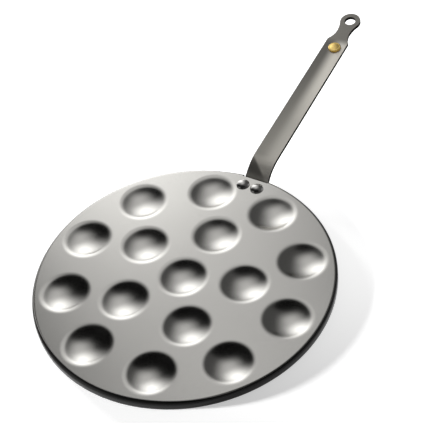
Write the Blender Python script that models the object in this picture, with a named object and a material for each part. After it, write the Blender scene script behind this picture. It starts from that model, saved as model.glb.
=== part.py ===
"""Pancake pan: a pressed steel plate with sixteen shallow cups and a riveted strip handle.

Metres, +Z up. The origin is the middle of the centre cup's flat foot, on the surface that the
pan stands on. The handle runs along +X.
"""

import math

import bmesh
import bpy
from mathutils import Matrix, Vector

# Plate
PLATE_RADIUS = 0.135
SHEET = 0.0025
EDGE_INNER_BEND = 0.0005         # inside radius where the sheet turns down into the skirt
SKIRT_LIFT = 0.0002              # the skirt's foot stays this far above the cups' feet
EDGE_LAND = 0.0045               # flat sheet between the edge bend and the outer cups' lips

# Cups
CUP_LIP_RADIUS = 0.0225          # where the flat sheet starts to dip
CUP_DEPTH = 0.0056               # at the middle of the cup, below the plate's top
LIP_UNDER_BEND = 0.006           # bend of the lip on the sheet's underside
CORNER_BEND = 0.016              # bend between the wall and the floor, inside the cup
FLOOR_RADIUS = 0.010             # the gently dished floor
FLOOR_DISH = 0.00088
FOOT_RADIUS = 0.005              # flat coined under each cup
INNER_CUPS = 5
OUTER_CUPS = 10
CUP_PATTERN_TURN = math.radians(-1.9)   # the handle is riveted on this much off the pattern

# Handle
HANDLE_THICKNESS = 0.0033
HANDLE_FOOT_WIDTH = 0.0236
HANDLE_SHOULDER_WIDTH = 0.0225
HANDLE_BEND_INSET = 0.0004       # the upward bend starts this far inside the skirt's face
HANDLE_RISE_ANGLE = math.radians(57)
HANDLE_RISE_BEND = 0.0032        # on the top face, where the strip turns up
HANDLE_BACK_BEND = 0.0253        # on the top face, where it turns back
HANDLE_SLOPE = math.radians(8)
HANDLE_STRAIGHT = 0.1859         # from the end of the bends to the middle of the eye
TAB_CORNER = 0.006
NECK_WIDTH = 0.0138
NECK_TO_EYE = 0.0167             # narrowest place to the middle of the eye
SHOULDER_ARC = 0.018
EYE_HOLE_RADIUS = 0.0063
EYE_RIM = 0.0039

# Rivets
RIVET_EDGE_DISTANCE = 0.0138     # rivets to the plate's edge
RIVET_PITCH = 0.0146
RIVET_TAB_END = 0.0092           # rivets to the end of the handle's tab
RIVET_HEAD_RADIUS = 0.0061
RIVET_HEAD_HEIGHT = 0.0044
RIVET_SHANK_RADIUS = 0.0025
RIVET_TAIL_RADIUS = 0.0046
RIVET_TAIL_HEIGHT = 0.0012

# Brass stud near the handle's end
STUD_TO_EYE = 0.0389
STUD_OFFSET = -0.0012            # off the handle's centre line
STUD_HEAD_RADIUS = 0.0062
STUD_EDGE_HEIGHT = 0.0008
STUD_HEAD_HEIGHT = 0.0021
STUD_SHANK_RADIUS = 0.0022
STUD_TAIL_RADIUS = 0.0038
STUD_TAIL_HEIGHT = 0.0009

# Fits
SEAT_GAP = 0.0003                # between pieces that touch
HOLE_GAP = 0.0003                # around a shank in its hole
NOTCH_GAP = 0.0015               # beside the handle in the skirt
NOTCH_HEADROOM = 0.0003          # how far the notch reaches into the edge bend

# Facets
CUP_SIDES = 20
EDGE_SIDES = 96
ROUND_SIDES = 24

# Worked out from the sizes above
EDGE_BEND = EDGE_INNER_BEND + SHEET
LIP_BEND = LIP_UNDER_BEND + SHEET
OUTER_RING_RADIUS = PLATE_RADIUS - EDGE_BEND - EDGE_LAND - CUP_LIP_RADIUS
INNER_RING_RADIUS = OUTER_RING_RADIUS / (2 * math.cos(math.pi / OUTER_CUPS))
FLOOR_BEND = (FLOOR_RADIUS ** 2 + FLOOR_DISH ** 2) / (2 * FLOOR_DISH)
FLOOR_TILT = math.asin(FLOOR_RADIUS / FLOOR_BEND)
FOOT_TILT = math.asin(FOOT_RADIUS / (FLOOR_BEND + SHEET))
PLATE_TOP = CUP_DEPTH + SHEET - (FLOOR_BEND + SHEET) * (1 - math.cos(FOOT_TILT))
SKIRT_HEIGHT = PLATE_TOP - SKIRT_LIFT
TAB_TOP = PLATE_TOP - SHEET - SEAT_GAP
RIVET_X = PLATE_RADIUS - RIVET_EDGE_DISTANCE
TAB_START_X = RIVET_X - RIVET_TAB_END
TAB_LENGTH = PLATE_RADIUS - HANDLE_BEND_INSET - TAB_START_X
RISE_LENGTH = HANDLE_RISE_BEND * HANDLE_RISE_ANGLE
BACK_LENGTH = HANDLE_BACK_BEND * (HANDLE_RISE_ANGLE - HANDLE_SLOPE)
EYE_AT = TAB_LENGTH + RISE_LENGTH + BACK_LENGTH + HANDLE_STRAIGHT
EYE_RADIUS = EYE_HOLE_RADIUS + EYE_RIM


def clear_scene():
    for item in list(bpy.data.objects):
        bpy.data.objects.remove(item, do_unlink=True)


def material(name, colour, roughness, metallic=1.0):
    made = bpy.data.materials.new(name)
    made.use_nodes = True
    shader = made.node_tree.nodes["Principled BSDF"]
    shader.inputs["Base Color"].default_value = (*colour, 1.0)
    shader.inputs["Roughness"].default_value = roughness
    shader.inputs["Metallic"].default_value = metallic
    made.diffuse_color = (*colour, 1.0)
    return made


def finish_mesh(name, bm, finish, smooth_below=30):
    """Close a bmesh off as a mesh whose round faces are shaded smooth."""
    bmesh.ops.recalc_face_normals(bm, faces=bm.faces)
    mesh = bpy.data.meshes.new(name)
    bm.to_mesh(mesh)
    bm.free()
    mesh.materials.append(finish)
    mesh.shade_smooth()
    mesh.set_sharp_from_angle(angle=math.radians(smooth_below))
    return mesh


def place(name, mesh, parent, location=(0, 0, 0), tilt=0.0):
    item = bpy.data.objects.new(name, mesh)
    item.location = location
    item.rotation_euler = (0, tilt, 0)
    item.parent = parent
    bpy.context.scene.collection.objects.link(item)
    return item


def cut(target, cutter):
    """Take a hidden cutter out of the target with an exact Boolean."""
    cutter.hide_render = True
    cutter.display_type = "WIRE"
    boolean = target.modifiers.new("cut " + cutter.name, "BOOLEAN")
    boolean.operation = "DIFFERENCE"
    boolean.solver = "EXACT"
    boolean.object = cutter


def arc(centre, radius, start, end, steps):
    """Points along an arc, both ends included; angles count from the first axis."""
    angles = [start + (end - start) * k / steps for k in range(steps + 1)]
    return [(centre[0] + radius * math.cos(a), centre[1] + radius * math.sin(a)) for a in angles]


def ring(bm, centre, radius, z, sides):
    """A closed ring of vertices and edges round a vertical axis."""
    points = arc(centre, radius, 0, 2 * math.pi * (sides - 1) / sides, sides - 1)
    verts = [bm.verts.new((x, y, z)) for x, y in points]
    for k, vert in enumerate(verts):
        bm.edges.new((vert, verts[(k + 1) % sides]))
    return verts


def ring_edges(bm, verts):
    return [bm.edges.get((vert, verts[(k + 1) % len(verts)])) for k, vert in enumerate(verts)]


def join_rings(bm, first, second):
    count = len(first)
    for k in range(count):
        after = (k + 1) % count
        bm.faces.new((first[k], first[after], second[after], second[k]))


def sweep(bm, centre, profile, sides):
    """Skin a profile of (radius, z) round a vertical axis; gives its first and last ring."""
    rings = [ring(bm, centre, radius, z, sides) for radius, z in profile]
    for first, second in zip(rings, rings[1:]):
        join_rings(bm, first, second)
    return rings[0], rings[-1]


def revolve(profile, sides=ROUND_SIDES):
    """Spin a profile that starts and ends on the Z axis into a closed body."""
    bm = bmesh.new()
    verts = [bm.verts.new((radius, 0, z)) for radius, z in profile]
    edges = [bm.edges.new(pair) for pair in zip(verts, verts[1:])]
    bmesh.ops.spin(bm, geom=verts + edges, axis=(0, 0, 1), cent=(0, 0, 0),
                   angle=2 * math.pi, steps=sides, use_merge=True)
    bmesh.ops.remove_doubles(bm, verts=bm.verts, dist=1e-6)
    return bm


def wall_tilt(corner_centre, corner_bend, lip_centre):
    """Slope of the straight wall that touches the corner bend and the lip bend."""
    across = lip_centre[0] - corner_centre[0]
    down = corner_centre[1] - lip_centre[1]
    reach = math.hypot(across, down)
    turn = math.acos(min(1.0, (corner_bend + LIP_BEND) / reach))
    return math.atan2(across, down) - turn


def cup_section(below):
    """Profile of one cup from lip to floor, at a distance below the sheet's top face.

    The section is a lip bend, a straight wall, a corner bend and a gently dished floor, each
    tangent to the next, so both faces of the sheet share their centres.
    """
    tilt_sine, tilt_cosine = math.sin(FLOOR_TILT), math.cos(FLOOR_TILT)
    floor_edge = (FLOOR_RADIUS, FLOOR_DISH - CUP_DEPTH)
    lip_centre = (CUP_LIP_RADIUS, -LIP_BEND)
    gap = (floor_edge[0] - lip_centre[0], floor_edge[1] - lip_centre[1])
    along = tilt_cosine * gap[1] - tilt_sine * gap[0]
    largest = (gap[0] ** 2 + gap[1] ** 2 - LIP_BEND ** 2) / (2 * (LIP_BEND - along))
    bend = min(CORNER_BEND, largest)
    corner_centre = (floor_edge[0] - bend * tilt_sine, floor_edge[1] + bend * tilt_cosine)
    wall = wall_tilt(corner_centre, bend, lip_centre)
    quarter = math.pi / 2
    lip = arc(lip_centre, LIP_BEND - below, quarter, quarter + wall, 3)
    corner = arc(corner_centre, bend + below, wall - quarter, FLOOR_TILT - quarter, 2)
    return lip + corner


def cup_centres():
    """Middle of every cup: one at the centre, then the inner and the outer ring."""
    centres = [(0.0, 0.0)]
    for count, radius, start in ((INNER_CUPS, INNER_RING_RADIUS, 0.0),
                                 (OUTER_CUPS, OUTER_RING_RADIUS, math.pi / OUTER_CUPS)):
        for k in range(count):
            angle = CUP_PATTERN_TURN + start + 2 * math.pi * k / count
            centres.append((radius * math.cos(angle), radius * math.sin(angle)))
    return centres


def edge_section(below):
    """Profile of the turned-down edge, from the flat sheet to the skirt's foot."""
    bend_centre = (PLATE_RADIUS - EDGE_BEND, -EDGE_BEND)
    steps = 2 if below else 4
    bend = arc(bend_centre, EDGE_BEND - below, math.pi / 2, 0, steps)
    return bend + [(PLATE_RADIUS - below, -SKIRT_HEIGHT)]


def sheet_face(bm, below):
    """One face of the pressed sheet; gives the ring at the skirt's foot."""
    start, foot = sweep(bm, (0, 0), edge_section(below), EDGE_SIDES)
    outline = ring_edges(bm, start)
    for centre in cup_centres():
        profile = cup_section(below)
        if below:
            floor = (math.sin(FOOT_TILT), PLATE_TOP)
            profile.append((floor[0] * (FLOOR_BEND + SHEET), -floor[1]))
        lip, floor_ring = sweep(bm, centre, profile, CUP_SIDES)
        outline += ring_edges(bm, lip)
        floor_face = bm.faces.new(floor_ring)
        if not below:
            middle = bmesh.ops.poke(bm, faces=[floor_face])["verts"][0]
            middle.co.z = -CUP_DEPTH
    bmesh.ops.triangle_fill(bm, use_beauty=True, edges=outline, normal=(0, 0, 1))
    return foot


def notch_cutter(parent):
    """Block that opens the skirt for the handle and reaches just into the edge bend."""
    inner = PLATE_RADIUS - EDGE_BEND - 0.0004
    outer = PLATE_RADIUS + 0.002
    top = -SHEET + NOTCH_HEADROOM
    bottom = -SKIRT_HEIGHT - 0.001
    width = HANDLE_FOOT_WIDTH + 2 * NOTCH_GAP
    bm = bmesh.new()
    bmesh.ops.create_cube(bm, size=1.0)
    bmesh.ops.scale(bm, vec=(outer - inner, width, top - bottom), verts=bm.verts)
    cutter = bpy.data.meshes.new("notch_cutter")
    bm.to_mesh(cutter)
    bm.free()
    middle = ((inner + outer) / 2, 0, PLATE_TOP + (top + bottom) / 2)
    return place("notch_cutter", cutter, parent, middle)


def hole_cutter(name, parent, y):
    depth = 2 * SHEET
    radius = RIVET_SHANK_RADIUS + HOLE_GAP
    bm = bmesh.new()
    bmesh.ops.create_cone(bm, cap_ends=True, segments=ROUND_SIDES, radius1=radius,
                          radius2=radius, depth=depth)
    cutter = bpy.data.meshes.new(name)
    bm.to_mesh(cutter)
    bm.free()
    return place(name, cutter, parent, (RIVET_X, y, PLATE_TOP - SHEET / 2))


def make_pan_body(parent, steel):
    """The pressed sheet: two faces a sheet's thickness apart, joined at the skirt's foot."""
    bm = bmesh.new()
    top_foot = sheet_face(bm, 0.0)
    under_foot = sheet_face(bm, SHEET)
    join_rings(bm, top_foot, under_foot)
    body = place("pan_body", finish_mesh("pan_body", bm, steel, 40), parent, (0, 0, PLATE_TOP))
    cut(body, notch_cutter(parent))
    for side, y in (("left", RIVET_PITCH / 2), ("right", -RIVET_PITCH / 2)):
        cut(body, hole_cutter("rivet_hole_" + side, parent, y))


def handle_side():
    """One side of the flat handle blank, from the tab's end to the tip, as (along, across)."""
    foot, shoulder = HANDLE_FOOT_WIDTH / 2, HANDLE_SHOULDER_WIDTH / 2
    neck_at, neck = EYE_AT - NECK_TO_EYE, NECK_WIDTH / 2
    quarter = math.pi / 2
    tab = arc((TAB_CORNER, foot - TAB_CORNER), TAB_CORNER, math.pi, quarter, 4)
    rise = neck + SHOULDER_ARC - shoulder
    shoulder_angle = math.asin(rise / SHOULDER_ARC)
    waist = arc((neck_at, neck + SHOULDER_ARC), SHOULDER_ARC, math.pi + shoulder_angle,
                3 * quarter, 4)
    eye_bend = (NECK_TO_EYE ** 2 + neck ** 2 - EYE_RADIUS ** 2) / (2 * (EYE_RADIUS - neck))
    touch = math.atan2(neck + eye_bend, -NECK_TO_EYE)
    flare = arc((neck_at, neck + eye_bend), eye_bend, 3 * quarter, math.pi + touch, 4)
    eye = arc((EYE_AT, 0), EYE_RADIUS, touch, 0, 12)
    return tab + waist + flare[1:-1] + eye


def loop(bm, points):
    verts = [bm.verts.new((x, y, 0)) for x, y in points]
    return [bm.edges.new((vert, verts[(k + 1) % len(verts)])) for k, vert in enumerate(verts)]


def circle(centre, radius, sides=ROUND_SIDES):
    return arc(centre, radius, 0, 2 * math.pi * (sides - 1) / sides, sides - 1)


def bend_stations():
    """Places along the blank where it is creased so that it can follow its bends."""
    rise = [TAB_LENGTH + RISE_LENGTH * k / 5 for k in range(6)]
    back = [rise[-1] + BACK_LENGTH * k / 8 for k in range(1, 9)]
    return rise + back


def on_handle(along, depth):
    """Point of the bent strip, and its slope, at a length along its top face."""
    x, z, slope = TAB_START_X + min(along, TAB_LENGTH), TAB_TOP, 0.0
    left = along - TAB_LENGTH
    if left > 0:
        slope = min(left / HANDLE_RISE_BEND, HANDLE_RISE_ANGLE)
        x += HANDLE_RISE_BEND * math.sin(slope)
        z += HANDLE_RISE_BEND * (1 - math.cos(slope))
        left -= RISE_LENGTH
    if left > 0:
        start = slope
        slope = max(start - left / HANDLE_BACK_BEND, HANDLE_SLOPE)
        x += HANDLE_BACK_BEND * (math.sin(start) - math.sin(slope))
        z += HANDLE_BACK_BEND * (math.cos(slope) - math.cos(start))
        left -= BACK_LENGTH
    if left > 0:
        x += left * math.cos(slope)
        z += left * math.sin(slope)
    return x + depth * math.sin(slope), z - depth * math.cos(slope), slope


def make_handle(parent, steel):
    """A flat blank with its holes, thickened, then bent up out of the skirt and back."""
    bm = bmesh.new()
    side = handle_side()
    edges = loop(bm, side + [(x, -y) for x, y in reversed(side[:-1])])
    rivet_hole = RIVET_SHANK_RADIUS + HOLE_GAP
    edges += loop(bm, circle((RIVET_TAB_END, RIVET_PITCH / 2), rivet_hole))
    edges += loop(bm, circle((RIVET_TAB_END, -RIVET_PITCH / 2), rivet_hole))
    edges += loop(bm, circle((EYE_AT - STUD_TO_EYE, STUD_OFFSET), STUD_SHANK_RADIUS + HOLE_GAP))
    edges += loop(bm, circle((EYE_AT, 0), EYE_HOLE_RADIUS))
    bmesh.ops.triangle_fill(bm, use_beauty=True, edges=edges, normal=(0, 0, 1))
    for station in bend_stations():
        bmesh.ops.bisect_plane(bm, geom=bm.verts[:] + bm.edges[:] + bm.faces[:], dist=1e-7,
                               plane_co=(station, 0, 0), plane_no=(1, 0, 0))
    lower = bmesh.ops.extrude_face_region(bm, geom=bm.faces[:])["geom"]
    for vert in (item for item in lower if isinstance(item, bmesh.types.BMVert)):
        vert.co.z = -HANDLE_THICKNESS
    for vert in bm.verts:
        x, z, _ = on_handle(vert.co.x, -vert.co.z)
        vert.co = Vector((x, vert.co.y, z))
    place("handle", finish_mesh("handle", bm, steel), parent)


def dome(radius, low, high, steps):
    """Profile of a cap from the axis down to its rim."""
    rise = high - low
    bend = (radius ** 2 + rise ** 2) / (2 * rise)
    reach = math.asin(min(1.0, radius / bend))
    if rise > radius:
        reach = math.pi - reach
    angles = [reach * k / steps for k in range(steps + 1)]
    return [(bend * math.sin(a), high - bend * (1 - math.cos(a))) for a in angles]


def make_rivets(parent, steel):
    """Domed heads on the plate, shanks through plate and tab, and low upset tails below."""
    tail_top = -SHEET - 2 * SEAT_GAP - HANDLE_THICKNESS
    tail_low = tail_top - RIVET_TAIL_HEIGHT
    profile = dome(RIVET_HEAD_RADIUS, SEAT_GAP, SEAT_GAP + RIVET_HEAD_HEIGHT, 6)
    profile += [(RIVET_SHANK_RADIUS, SEAT_GAP), (RIVET_SHANK_RADIUS, tail_top)]
    profile += [(RIVET_TAIL_RADIUS, tail_top), (RIVET_TAIL_RADIUS * 0.8, tail_low)]
    profile += [(0.0, tail_low)]
    mesh = finish_mesh("rivet", revolve(profile), steel)
    place("rivet_left", mesh, parent, (RIVET_X, RIVET_PITCH / 2, PLATE_TOP))
    place("rivet_right", mesh, parent, (RIVET_X, -RIVET_PITCH / 2, PLATE_TOP))


def make_stud(parent, brass):
    """The bare brass stud: a low domed head, a shank through the handle and an upset tail."""
    tail_top = -HANDLE_THICKNESS - SEAT_GAP
    tail_low = tail_top - STUD_TAIL_HEIGHT
    profile = dome(STUD_HEAD_RADIUS, SEAT_GAP + STUD_EDGE_HEIGHT, SEAT_GAP + STUD_HEAD_HEIGHT, 5)
    profile += [(STUD_HEAD_RADIUS, SEAT_GAP)]
    profile += [(STUD_SHANK_RADIUS, SEAT_GAP), (STUD_SHANK_RADIUS, tail_top)]
    profile += [(STUD_TAIL_RADIUS, tail_top), (STUD_TAIL_RADIUS * 0.8, tail_low)]
    profile += [(0.0, tail_low)]
    x, z, slope = on_handle(EYE_AT - STUD_TO_EYE, 0)
    mesh = finish_mesh("brass_stud", revolve(profile), brass)
    place("brass_stud", mesh, parent, (x, STUD_OFFSET, z), -slope)


def main():
    clear_scene()
    pan = bpy.data.objects.new("pancake_pan", None)
    bpy.context.scene.collection.objects.link(pan)
    plate_steel = material("plate_steel", (0.42, 0.41, 0.39), 0.38)
    handle_steel = material("handle_steel", (0.30, 0.29, 0.26), 0.42)
    rivet_steel = material("rivet_steel", (0.35, 0.34, 0.32), 0.22)
    stud_brass = material("stud_brass", (0.80, 0.56, 0.18), 0.25)
    make_pan_body(pan, plate_steel)
    make_handle(pan, handle_steel)
    make_rivets(pan, rivet_steel)
    make_stud(pan, stud_brass)


if __name__ == "__main__":
    main()
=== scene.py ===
import math

import bpy
from bpy.props import FloatProperty, FloatVectorProperty, IntProperty
from mathutils import Matrix, Vector


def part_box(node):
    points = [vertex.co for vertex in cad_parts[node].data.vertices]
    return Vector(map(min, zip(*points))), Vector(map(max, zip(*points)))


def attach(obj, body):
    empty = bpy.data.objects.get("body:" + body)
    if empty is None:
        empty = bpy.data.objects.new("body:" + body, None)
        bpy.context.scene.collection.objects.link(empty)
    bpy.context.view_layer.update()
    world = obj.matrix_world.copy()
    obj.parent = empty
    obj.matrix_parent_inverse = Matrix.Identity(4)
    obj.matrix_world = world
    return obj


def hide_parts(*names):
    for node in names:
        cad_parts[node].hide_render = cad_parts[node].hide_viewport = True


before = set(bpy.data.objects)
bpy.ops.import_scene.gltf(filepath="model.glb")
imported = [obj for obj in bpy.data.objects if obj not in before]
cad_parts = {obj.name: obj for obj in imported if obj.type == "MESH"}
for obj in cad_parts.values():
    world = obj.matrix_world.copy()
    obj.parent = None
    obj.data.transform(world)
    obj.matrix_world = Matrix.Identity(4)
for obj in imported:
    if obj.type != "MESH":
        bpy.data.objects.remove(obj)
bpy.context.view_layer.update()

PLATE_LOW, PLATE_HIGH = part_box("pan_body")
HANDLE_LOW, HANDLE_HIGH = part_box("handle")
LEFT_LOW, LEFT_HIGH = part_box("rivet_left")
RIGHT_LOW, RIGHT_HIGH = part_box("rivet_right")
STUD_LOW, STUD_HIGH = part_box("brass_stud")

bl_info = {
    "name": "Pancake pan",
    "version": (1, 0, 0),
    "blender": (4, 5, 0),
    "location": "3D View > Sidebar > Pancake Pan",
    "description": "Presses a steel pancake pan, bends its handle and sets it in a small studio",
    "category": "Object",
}

QUARTER = math.pi / 2
HOLE_GAP = 0.0003              # round a shank in its hole
FLAT_MARGIN = 0.0007           # flat ring round each cup and inside the rim
TAB_TOP_HEIGHT = 0.00329       # tab's top face above the handle's lowest point
RISE_CREASES = 8               # steps of the strip's upward bend
BACK_CREASES = 14              # steps of its backward bend
RIVET_TAIL_HEIGHT = 0.0012
STUD_TAIL_HEIGHT = 0.0009
SHEET_SMOOTHING = math.radians(35)
TURNED_SMOOTHING = math.radians(40)
PAPER_SHADE = 0.8


# Settings

class PanPlateSizes(bpy.types.PropertyGroup):
    """Sizes of the pressed sheet"""

    radius: FloatProperty(name="Plate radius", description="Centre to the skirt's outer face",
                          default=PLATE_HIGH.y, unit="LENGTH")
    top: FloatProperty(name="Plate height", description="Surface to the plate's top face",
                       default=PLATE_HIGH.z, unit="LENGTH")
    sheet: FloatProperty(name="Sheet", description="Thickness of the sheet",
                         default=0.0025, unit="LENGTH")
    skirt_lift: FloatProperty(name="Skirt lift", description="Skirt's foot above the surface",
                              default=0.0002, unit="LENGTH")
    edge_bend: FloatProperty(name="Edge bend", description="Outer radius of the turned-down edge",
                             default=0.003, unit="LENGTH")
    lip_radius: FloatProperty(name="Cup radius", description="Where the sheet starts to dip",
                              default=0.02409, unit="LENGTH")
    lip_bend: FloatProperty(name="Lip bend", description="Bend of a cup's lip on the top face",
                            default=0.01359, unit="LENGTH")
    corner_bend: FloatProperty(name="Corner bend", description="Bend between wall and floor",
                               default=0.0422, unit="LENGTH")
    cup_depth: FloatProperty(name="Cup depth", description="At the middle of a cup",
                             default=0.00545, unit="LENGTH")
    floor_radius: FloatProperty(name="Floor radius", description="Radius of the dished floor",
                                default=0.010, unit="LENGTH")
    floor_dish: FloatProperty(name="Floor dish", description="Rise of the floor at its edge",
                              default=0.001202, unit="LENGTH")
    outer_ring: FloatProperty(name="Outer ring", description="Radius of the outer ring of cups",
                              default=PLATE_HIGH.y - 0.030, unit="LENGTH")
    pattern_turn: FloatProperty(name="Pattern turn", description="Cup pattern off the handle",
                                default=math.radians(-1.9), subtype="ANGLE")
    notch_width: FloatProperty(name="Notch width", description="Gap in the skirt at the handle",
                               default=HANDLE_HIGH.y * 2 + 0.003, unit="LENGTH")
    notch_inset: FloatProperty(name="Notch inset", description="How far it passes the edge bend",
                               default=0.0008, unit="LENGTH")
    cup_sides: IntProperty(name="Cup sides", description="Facets round a cup", default=72, min=12)
    edge_sides: IntProperty(name="Edge sides", description="Facets round the plate",
                            default=288, min=24)


class PanHandleSizes(bpy.types.PropertyGroup):
    """Sizes of the strip handle"""

    thickness: FloatProperty(name="Thickness", description="Thickness of the strip",
                             default=0.0033, unit="LENGTH")
    foot_width: FloatProperty(name="Foot width", description="Width where it is riveted",
                              default=HANDLE_HIGH.y * 2, unit="LENGTH")
    shoulder_width: FloatProperty(name="Shoulder width", description="Width at the shoulders",
                                  default=0.0225, unit="LENGTH")
    tab_start: FloatProperty(name="Tab start", description="X of the tab's inner end",
                             default=HANDLE_LOW.x, unit="LENGTH")
    tab_top: FloatProperty(name="Tab height", description="Height of the tab's top face",
                           default=HANDLE_LOW.z + TAB_TOP_HEIGHT, unit="LENGTH")
    tab_length: FloatProperty(name="Tab length", description="From the tab's end to the bend",
                              default=0.0204, unit="LENGTH")
    tab_corner: FloatProperty(name="Tab corner", description="Corner radius of the tab",
                              default=0.006, unit="LENGTH")
    rise_angle: FloatProperty(name="Rise", description="How steeply the strip leaves the skirt",
                              default=math.radians(49), subtype="ANGLE")
    rise_bend: FloatProperty(name="Rise bend", description="Bend radius where it turns up",
                             default=0.0020, unit="LENGTH")
    back_bend: FloatProperty(name="Back bend", description="Bend radius where it turns back",
                             default=0.0367, unit="LENGTH")
    slope: FloatProperty(name="Slope", description="Slope of the straight part",
                         default=math.radians(8), subtype="ANGLE")
    straight: FloatProperty(name="Straight", description="From the bends to the eye's middle",
                            default=0.18436, unit="LENGTH")
    neck_width: FloatProperty(name="Neck width", description="Width at the narrowest place",
                              default=0.0138, unit="LENGTH")
    neck_to_eye: FloatProperty(name="Neck to eye", description="Narrowest place to the eye",
                               default=0.0167, unit="LENGTH")
    shoulder_arc: FloatProperty(name="Shoulder arc", description="Hollow below the shoulders",
                                default=0.018, unit="LENGTH")
    eye_hole: FloatProperty(name="Eye hole", description="Radius of the hanging eye's hole",
                            default=0.0055, unit="LENGTH")
    eye_radius: FloatProperty(name="Eye radius", description="Outer radius of the hanging eye",
                              default=0.0102, unit="LENGTH")
    edge_round: FloatProperty(name="Edge rounding", description="Rounding of the cut edges",
                              default=0.00028, unit="LENGTH")
    hollow: FloatProperty(name="Hollow", description="How far the strip is hollowed across",
                          default=0.0005, unit="LENGTH")


class PanFixingSizes(bpy.types.PropertyGroup):
    """Sizes and places of the rivets and the stud"""

    rivet_x: FloatProperty(name="Rivet place", description="X of both rivets",
                           default=(LEFT_LOW.x + LEFT_HIGH.x) / 2, unit="LENGTH")
    rivet_pitch: FloatProperty(name="Rivet pitch", description="Distance between the rivets",
                               default=LEFT_LOW.y - RIGHT_LOW.y, unit="LENGTH")
    rivet_offset: FloatProperty(name="Rivet offset", description="Pair off the centre line",
                                default=(LEFT_HIGH.y + RIGHT_LOW.y) / 2, unit="LENGTH")
    rivet_radius: FloatProperty(name="Rivet radius", description="Radius of a rivet's head",
                                default=0.0061, unit="LENGTH")
    rivet_height: FloatProperty(name="Rivet height", description="Height of a rivet's dome",
                                default=0.0030, unit="LENGTH")
    rivet_shank: FloatProperty(name="Rivet shank", description="Radius of a rivet's shank",
                               default=0.0025, unit="LENGTH")
    rivet_tail: FloatProperty(name="Rivet tail", description="Radius of a rivet's tail",
                              default=0.0046, unit="LENGTH")
    stud_to_eye: FloatProperty(name="Stud to eye", description="Stud to the hanging eye",
                               default=0.0389, unit="LENGTH")
    stud_offset: FloatProperty(name="Stud offset", description="Stud off the centre line",
                               default=(STUD_LOW.y + STUD_HIGH.y) / 2, unit="LENGTH")
    stud_radius: FloatProperty(name="Stud radius", description="Radius of the stud's head",
                               default=0.0062, unit="LENGTH")
    stud_height: FloatProperty(name="Stud height", description="Height of the stud's head",
                               default=0.0021, unit="LENGTH")
    stud_shank: FloatProperty(name="Stud shank", description="Radius of the stud's shank",
                              default=0.0022, unit="LENGTH")
    stud_tail: FloatProperty(name="Stud tail", description="Radius of the stud's tail",
                             default=0.0038, unit="LENGTH")
    seat: FloatProperty(name="Seat gap", description="Gap under heads and tails",
                        default=0.0003, unit="LENGTH")


class PanFinishes(bpy.types.PropertyGroup):
    """Colours and gloss of the metals"""

    plate_colour: FloatVectorProperty(name="Plate steel", description="Satin sheet steel",
                                      subtype="COLOR", default=(0.56, 0.55, 0.525),
                                      min=0, max=1)
    plate_roughness: FloatProperty(name="Plate roughness", description="Gloss of the plate",
                                   default=0.212, min=0, max=1, subtype="FACTOR")
    # near black: partly the rolled edge's darker finish, mostly painted dark reflection of the
    # room that the skirt mirrors
    skirt_finish_and_shade_colour: FloatVectorProperty(name="Skirt steel", description="Darker rolled edge",
                                      subtype="COLOR", default=(0.006, 0.006, 0.0057),
                                      min=0, max=1)
    handle_colour: FloatVectorProperty(name="Handle steel", description="Strip steel",
                                       subtype="COLOR", default=(0.40, 0.385, 0.35),
                                       min=0, max=1)
    handle_roughness: FloatProperty(name="Handle roughness", description="Gloss of the handle",
                                    default=0.45, min=0, max=1, subtype="FACTOR")
    # near black: partly the raw sheared side, mostly painted dark reflection of the surroundings
    # beside the strip
    cut_edge_finish_and_shade_colour: FloatVectorProperty(name="Cut edge", description="Sheared side of the strip",
                                         subtype="COLOR", default=(0.02, 0.019, 0.018),
                                         min=0, max=1)
    rivet_colour: FloatVectorProperty(name="Rivet steel", description="Polished rivet heads",
                                      subtype="COLOR", default=(0.60, 0.59, 0.575),
                                      min=0, max=1)
    brass_colour: FloatVectorProperty(name="Brass", description="Polished brass stud",
                                      subtype="COLOR", default=(0.98, 0.70, 0.24),
                                      min=0, max=1)
    # darker brass on the stud's side: painted shade where the wall mirrors the dark room
    brass_wall_shade_colour: FloatVectorProperty(name="Brass wall", description="Side of the stud",
                                           subtype="COLOR", default=(0.62, 0.36, 0.05),
                                           min=0, max=1)


class PanStudioSettings(bpy.types.PropertyGroup):
    """Camera, floor and lights"""

    camera_place: FloatVectorProperty(name="Camera", description="Where the camera stands",
                                      subtype="XYZ", unit="LENGTH",
                                      default=(-0.55592, -0.46803, 0.81435))
    camera_aim: FloatVectorProperty(name="Aim", description="Point in the picture's middle",
                                    subtype="XYZ", unit="LENGTH",
                                    default=(0.07892, 0.01696, 0.00789))
    camera_roll: FloatProperty(name="Roll", description="Turn of the camera about its view",
                               default=math.radians(10.102), subtype="ANGLE")
    camera_lens: FloatProperty(name="Lens", description="Focal length in millimetres",
                               default=105.29, min=1)
    low_glow: FloatProperty(name="Low card", description="Glow of the low card behind",
                            default=1.95, min=0)
    roof_glow: FloatProperty(name="Roof card", description="Glow of the long sloping card",
                             default=0.688, min=0)
    wide_glow: FloatProperty(name="Wide card", description="Glow of the faint wide card",
                             default=0.085, min=0)
    side_glow: FloatProperty(name="Side card", description="Glow of the card left of the handle",
                             default=0.58, min=0)
    back_glow: FloatProperty(name="Back cards", description="Glow of the three cards behind",
                             default=0.5, min=0)
    room_glow: FloatProperty(name="Room", description="Glow of the dim room round the pan",
                             default=0.003, min=0)
    key_share: FloatProperty(name="Key light", description="What it adds to the paper",
                             default=0.45, min=0)
    fill_share: FloatProperty(name="Fill light", description="What it adds to the paper",
                              default=0.09, min=0)
    paper_left: FloatProperty(name="Paper, left", description="Glow of the paper at the left",
                              default=0.40, min=0)
    paper_right: FloatProperty(name="Paper, right", description="Glow by the handle",
                               default=0.84, min=0)


SETTING_GROUPS = (("pan_plate", PanPlateSizes), ("pan_handle", PanHandleSizes),
                  ("pan_fixings", PanFixingSizes), ("pan_finishes", PanFinishes),
                  ("pan_studio", PanStudioSettings))


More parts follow.
